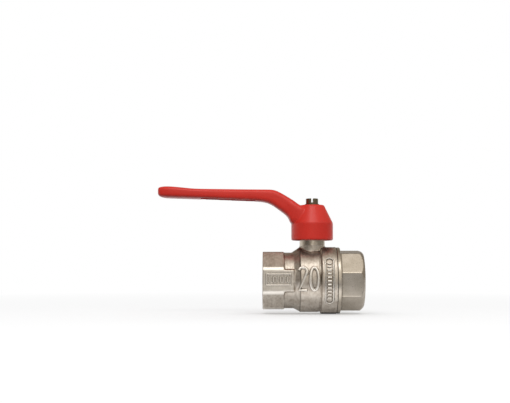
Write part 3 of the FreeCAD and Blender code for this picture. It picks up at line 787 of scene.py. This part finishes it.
lever = {
    "bellWall": 1.6, "bellShoulder": 31.1, "bellTop": 41.1, "bellTopRadius": 6.5, "ceiling": 33.5,
    "stations": [  # reach back from the stem over the inlet, upper face, under face, half width
        (3.0, 39.5, 30.5, 7.4), (7.0, 40.9, 30.1, 7.4), (9.6, 43.15, 30.1, 7.0), (11.9, 44.55, 30.8, 6.5),
        (12.9, 45.2, 34.2, 6.2), (15.0, 46.5, 36.15, 5.9), (18.5, 48.45, 38.7, 5.7), (21.0, 49.35, 40.5, 5.7),
        (23.2, 49.5, 41.8, 5.8), (26.5, 49.5, 42.8, 6.0), (31.0, 49.5, 43.1, 6.4), (40.0, 49.55, 43.45, 7.3),
        (52.0, 49.7, 44.0, 7.7), (61.5, 49.75, 44.35, 7.8), (66.5, 50.05, 44.5, 7.8),
        (71.3, 50.6, 44.65, 7.8), (77.0, 51.15, 44.85, 7.6), (80.6, 51.2, 45.0, 7.1),
        (83.1, 50.85, 45.6, 6.0), (84.3, 50.3, 46.4, 4.6),
    ],
    "squareness": 4, "sectionPoints": 40, "bellRound": 0.8, "topRound": 1.1,
    "coreStart": 31.0, "coreEnd": 61.0, "coreBottom": 40, "coreTop": 46.0, "coreRound": 1,
    "coreHalfWidths": (5.6, 4.3),  # at its far end and near the stem
    "grain": 0.32, "passes": 7,
}


def addStation(bm, reach, upper, under, halfWidth):
    # a ring of the arm's section: a rounded rectangle, by the superellipse formula
    ring = bmesh.ops.create_circle(bm, segments=lever["sectionPoints"], radius=1)["verts"]
    power = 2 / lever["squareness"]
    for vert in ring:
        across, up = vert.co.x, vert.co.y
        vert.co = Vector((-reach, math.copysign(abs(across) ** power, across) * halfWidth,
                       (upper + under) / 2 + math.copysign(abs(up) ** power, up) * (upper - under) / 2)) * mm
    return ring


def leverArm():
    bm = bmesh.new()
    rings = [addStation(bm, *station) for station in lever["stations"]]
    for near, far in zip(rings, rings[1:]):
        loops = [edge for edge in bm.edges if set(edge.verts) <= set(near) or set(edge.verts) <= set(far)]
        bmesh.ops.bridge_loops(bm, edges=loops)
    for ring in (rings[0], rings[-1]):
        bm.faces.new(ring)
    piece = makePiece("leverHandle", bm)
    rounding = piece.modifiers.new("rounding", "SUBSURF")
    rounding.levels = 2
    rounding.render_levels = 2
    bakeModifiers(piece)
    return piece


def bellRoom(bellRadius, bellBottom):
    # the bell's inside, a wall's thickness within its side and its cone
    inner = bellRadius - lever["bellWall"]
    lean = (bellRadius - lever["bellTopRadius"]) / (lever["bellTop"] - lever["bellShoulder"])
    coneStart, ceiling = lever["bellShoulder"] - lever["bellWall"], lever["ceiling"]
    bm = bmesh.new()
    spinOutline(bm, [(bellBottom - past, 0), (bellBottom - past, inner), (coneStart, inner),
                     (ceiling, inner - lean * (ceiling - coneStart)), (ceiling, 0)], "stem")
    return makePiece("bellRoom", bm)


def gripCore():
    # the hollow under the grip, wider towards the lever's end
    farHalf, nearHalf = lever["coreHalfWidths"]
    bm = bmesh.new()
    addBlock(bm, (-lever["coreEnd"], -1, lever["coreBottom"]), (-lever["coreStart"], 1, lever["coreTop"]))
    for vert in bm.verts:
        vert.co.y *= nearHalf if vert.co.x / mm > -lever["coreEnd"] + 1 else farHalf
    bmesh.ops.bevel(bm, geom=bm.edges[:], offset=lever["coreRound"] * mm, segments=3, affect="EDGES",
                    profile=0.5, material=-1)
    return makePiece("core", bm)


def leverHandle():
    bellRadius = leverHigh.y
    bellBottom = leverLow.z
    piece = leverArm()
    bm = bmesh.new()
    spinOutline(bm, roundedOutline([
        (bellBottom, 0, 0), (bellBottom, bellRadius, lever["bellRound"]),
        (lever["bellShoulder"], bellRadius, lever["bellRound"]),
        (lever["bellTop"], lever["bellTopRadius"], lever["topRound"]), (lever["bellTop"], 0, 0)]), "stem")
    carve(piece, makePiece("bell", bm), "UNION")
    carve(piece, bellRoom(bellRadius, bellBottom))
    carve(piece, gripCore())
    castSurface(piece, lever["grain"], lever["passes"])
    finishPiece(piece, "lever", "red_enamel", enamel, "lever_handle", smoothAngle=60)


screw = {
    "slotWidth": 1.1, "slotDepth": 2.2, "headEdge": 0.35, "underEdge": 0.15, "shank": 2.0, "tipRound": 0.4,
    "steps": 96,
}


def leverScrew():
    headBottom = washerHigh.z
    radius, shank, top = screwHigh.y, screw["shank"], screwHigh.z
    bm = bmesh.new()
    spinOutline(bm, roundedOutline([
        (screwLow.z, 0, 0), (screwLow.z, shank, screw["tipRound"]), (headBottom, shank, 0),
        (headBottom, radius, screw["underEdge"]), (top, radius, screw["headEdge"]), (top, 0, 0)]),
        "stem", steps=screw["steps"])
    piece = makePiece("leverScrew", bm)
    half = screw["slotWidth"] / 2
    bm = bmesh.new()
    addBlock(bm, (-half, -radius - past, top - screw["slotDepth"]), (half, radius + past, top + past))
    carve(piece, makePiece("slot", bm))
    finishPiece(piece, "lever", "passivated_steel", fixings, "lever_screw", smoothAngle=30)


washer = {"holeGap": 0.15, "lowerEdge": 0.12, "upperEdge": 0.2, "holeEdge": 0.1}


def leverWasher():
    hole, rim = screw["shank"] + washer["holeGap"], washerHigh.y
    bm = bmesh.new()
    spinOutline(bm, roundedOutline([
        (washerLow.z, hole, 0), (washerLow.z, rim, washer["lowerEdge"]),
        (washerHigh.z, rim, washer["upperEdge"]), (washerHigh.z, hole, washer["holeEdge"])]),
        "stem", steps=screw["steps"])
    piece = makePiece("leverWasher", bm)
    finishPiece(piece, "lever", "passivated_steel", fixings, "lever_washer", smoothAngle=30)


forgedBody()
raisedMarks()
print("body made")
endCap()
print("cap made")
leverHandle()
print("lever made")
leverScrew()
leverWasher()
print("screw and washer made")


studio = {  # in millimetres, but floorSize in metres; camera is its place along from the stem, and its height
    "floorSize": 4.0, "distance": 560, "frameWidth": 278.7, "camera": (-31.2, 7.0), "aim": 43.06,
    "fill": 0.8, "floorGlow": 0.31, "clear": (160, 500),
}
# a painted reflection and painted shade that only polished metal and bounced light see
mirroredFloor = {  # what polished metal sees of the floor, with its places in millimetres
    "glow": 0.16, "dim": 0.45, "front": (-52, -40), "shade": 0.35, "strip": 0.6, "stripStart": (-52, -36),
    "stripEnd": (-25, -16), "leftEnd": (-25, -5), "rightEnd": (50, 62), "inFront": (-20, 0),
}


def buildFloor():
    # white paper under the valve that turns into a plain white glow further out
    bm = bmesh.new()
    bmesh.ops.create_grid(bm, x_segments=1, y_segments=1, size=studio["floorSize"],
                          matrix=Matrix.Translation((0, 0, cadBounds[0].z)))
    floor = makePiece("floor", bm)
    material, tree, shader, place = newMaterial("whiteStudioPaper", Roughness=0.9, Specular_IOR_Level=0)
    away = addNode(tree, "VectorMath", {"operation": "LENGTH"}, place)["Value"]
    flat = addNode(tree, "SeparateXYZ", {}, place)
    along, across = flat["X"], flat["Y"]
    path = addNode(tree, "LightPath", {})
    looked = addNode(tree, "Math", larger, path["Is Camera Ray"], path["Is Transmission Ray"])
    glow = addNode(tree, "MapRange", {}, away, *inMetres(studio["clear"]), studio["floorGlow"], 1)
    # painted reflection: polished metal sees the paper dimmed, most in front of the valve, and one lighter
    # strip along it
    mirror = mirroredFloor
    farGlow = addNode(tree, "MapRange", {}, away, *inMetres(studio["clear"]), mirror["glow"], 1)
    front = inMetres(mirror["front"])
    dimFront = addNode(tree, "MapRange", {}, across, *front, mirror["dim"], 1)
    mirrored = addNode(tree, "Math", times, farGlow, dimFront)
    stripStart = addNode(tree, "MapRange", {}, across, *inMetres(mirror["stripStart"]), 0, mirror["strip"])
    stripEnd = addNode(tree, "MapRange", {}, across, *inMetres(mirror["stripEnd"]), 1, 0)
    strip = addNode(tree, "Math", times, stripStart, stripEnd)
    # the strip stops beside the valve, which is in front and beyond its two ends
    leftOf = addNode(tree, "MapRange", {}, along, *inMetres(mirror["leftEnd"]), 1, 0)
    rightOf = addNode(tree, "MapRange", {}, along, *inMetres(mirror["rightEnd"]), 0, 1)
    inFront = addNode(tree, "MapRange", {}, across, *inMetres(mirror["inFront"]), 1, 0)
    beside = addNode(tree, "Math", times, addNode(tree, "Math", larger, leftOf, rightOf), inFront)
    strip = addNode(tree, "Math", times, strip, addNode(tree, "MapRange", {}, beside, 0, 1, 1, 0))
    mirrored = addNode(tree, "Math", add, mirrored, strip)
    shown = addNode(tree, "Math", add, addNode(tree, "Math", times, looked, glow),
                    addNode(tree, "Math", times, path["Is Glossy Ray"], mirrored))
    feedShader(tree, shader, Emission_Strength=shown, Emission_Color=(1, 1, 1, 1))
    # painted shade: the paper's own colour gives way to the glow, and is darker to a mirror and as bounced
    # light
    paper = addNode(tree, "ValToRGB", {"stops": [(0, "#cbcbcb"), (1, "#000000")]},
                    addNode(tree, "MapRange", {}, away, *inMetres(studio["clear"]), 0, 1))
    shadedFront = addNode(tree, "MapRange", {}, across, *front, 1, mirror["shade"])
    shaded = addNode(tree, "Math", larger, beside, shadedFront)
    inGloss = addNode(tree, "Math", times, path["Is Glossy Ray"], shaded)
    dimmed = addNode(tree, "ValToRGB", {"stops": [(0, "#ffffff"), (1, "#b0b0b0")]},
                     addNode(tree, "Math", larger, inGloss, path["Is Diffuse Ray"]))
    feedShader(tree, shader, Base_Color=addNode(tree, "Mix", multiplied, 1, paper, dimmed))
    floor.data.materials.append(material)
    material.cycles.emission_sampling = "NONE"


room = {  # walls go round from the back by the left, the front and the right, the ceiling from front to back
    "walls": [(0, "#ffffff"), (0.16, "#ddd9d2"), (0.25, "#9d958a"), (0.317, "#6b6359"), (0.372, "#544c44"),
              (0.428, "#7b7368"), (0.485, "#e4ded3"), (0.52, "#e4ded3"), (0.57, "#b9b3a8"), (0.65, "#8f887d"),
              (0.73, "#7d766c"), (0.81, "#7d766c"), (0.92, "#e6e3df"), (1, "#ffffff")],
    "ceiling": [(0.15, "#efe9df"), (0.36, "#d8d1c6"), (0.5, "#b4ada2"), (0.7, "#8a8379"), (1, "#8a8379")],
    "leftSide": [(0, "#969696"), (1, "#ffffff")], "leftEdges": (-0.75, -0.2), "ceilingEdges": (0.12, 0.35),
}


def buildWorld():
    # a white room to look at and be lit by; polished metal also sees its dim front and ceiling
    world = bpy.data.worlds.new("studio")
    bpy.context.scene.world = world
    world.use_nodes = True
    world.cycles.sampling_method = "NONE"
    tree = world.node_tree
    axes = addNode(tree, "SeparateXYZ", {}, addNode(tree, "TexCoord", {})["Generated"])
    forward = addNode(tree, "Math", times, axes["Y"], -1)
    turn = addNode(tree, "Math", {"operation": "ARCTAN2"}, axes["X"], forward)
    around = addNode(tree, "MapRange", {}, turn, -math.pi, math.pi, 0, 1)
    walls = addNode(tree, "ValToRGB", {"stops": room["walls"]}, around)
    backwards = addNode(tree, "MapRange", {}, axes["Y"], -1, 1, 0, 1)
    ceiling = addNode(tree, "ValToRGB", {"stops": room["ceiling"]}, backwards)
    rightwards = addNode(tree, "MapRange", {}, axes["X"], *room["leftEdges"], 0, 1)
    leftSide = addNode(tree, "ValToRGB", {"stops": room["leftSide"]}, rightwards)
    ceiling = addNode(tree, "Mix", multiplied, 1, ceiling, leftSide)
    above = addNode(tree, "MapRange", {}, axes["Z"], *room["ceilingEdges"], 0, 1)
    reflected = addNode(tree, "Mix", {"data_type": "RGBA"}, above, walls, ceiling)
    path = addNode(tree, "LightPath", {})
    seen = addNode(tree, "Math", larger, path["Is Camera Ray"], path["Is Transmission Ray"])
    level = addNode(tree, "MapRange", {}, seen, 0, 1, studio["fill"], 1)
    white = addNode(tree, "CombineColor", {}, level, level, level)
    mixed = addNode(tree, "Mix", {"data_type": "RGBA"}, path["Is Glossy Ray"], white, reflected)
    feed(tree, tree.nodes["Background"].inputs["Color"], mixed)


lamps = {  # in metres; radiance is how bright the panel's face is
    "softbox": {"spot": (0.02, -0.53, 0.72), "aim": (0.02, 0, 0.02), "size": (0.6, 0.44), "radiance": 1.3},
    "key": {"spot": (-0.05, -0.49, 0.74), "aim": (0.02, 0, 0.02), "size": (0.14, 0.22), "radiance": 1.8},
    "front": {"spot": (0.02, -0.6, 0.5), "aim": (0.02, 0, 0.02), "size": (0.8, 0.5), "radiance": 1.2,
              "inGloss": False},
    "back": {"spot": (0.0, 0.6, 0.72), "aim": (0.02, 0, 0.0), "size": (0.8, 0.4), "radiance": 1.0,
             "inGloss": False},
}


def addLamp(name, spot, aim, size, radiance, inGloss=True):
    # an even panel; its power follows from how bright its face is
    light = bpy.data.lights.new(name, "AREA")
    light.shape = "RECTANGLE"
    light.size, light.size_y = size
    light.energy = radiance * math.pi * size[0] * size[1]
    lamp = bpy.data.objects.new(name, light)
    bpy.context.scene.collection.objects.link(lamp)
    lamp.visible_glossy = inGloss
    lamp.location = spot
    lamp.rotation_euler = (Vector(aim) - Vector(spot)).to_track_quat("-Z", "Y").to_euler()


def buildCamera():
    camera = bpy.data.cameras.new("camera")
    camera.sensor_width = 36
    camera.lens = camera.sensor_width * studio["distance"] / studio["frameWidth"]
    view = bpy.data.objects.new("camera", camera)
    bpy.context.scene.collection.objects.link(view)
    along, height = studio["camera"]
    view.location = (stemX + along * mm, -studio["distance"] * mm, height * mm)
    aim = Vector((view.location.x, 0, studio["aim"] * mm))
    view.rotation_euler = (aim - view.location).to_track_quat("-Z", "Y").to_euler()
    bpy.context.scene.camera = view


buildFloor()
buildWorld()
for lampName, lampValues in lamps.items():
    addLamp(lampName, **lampValues)
buildCamera()
bpy.context.scene.view_settings.view_transform = "Standard"
print("studio made")
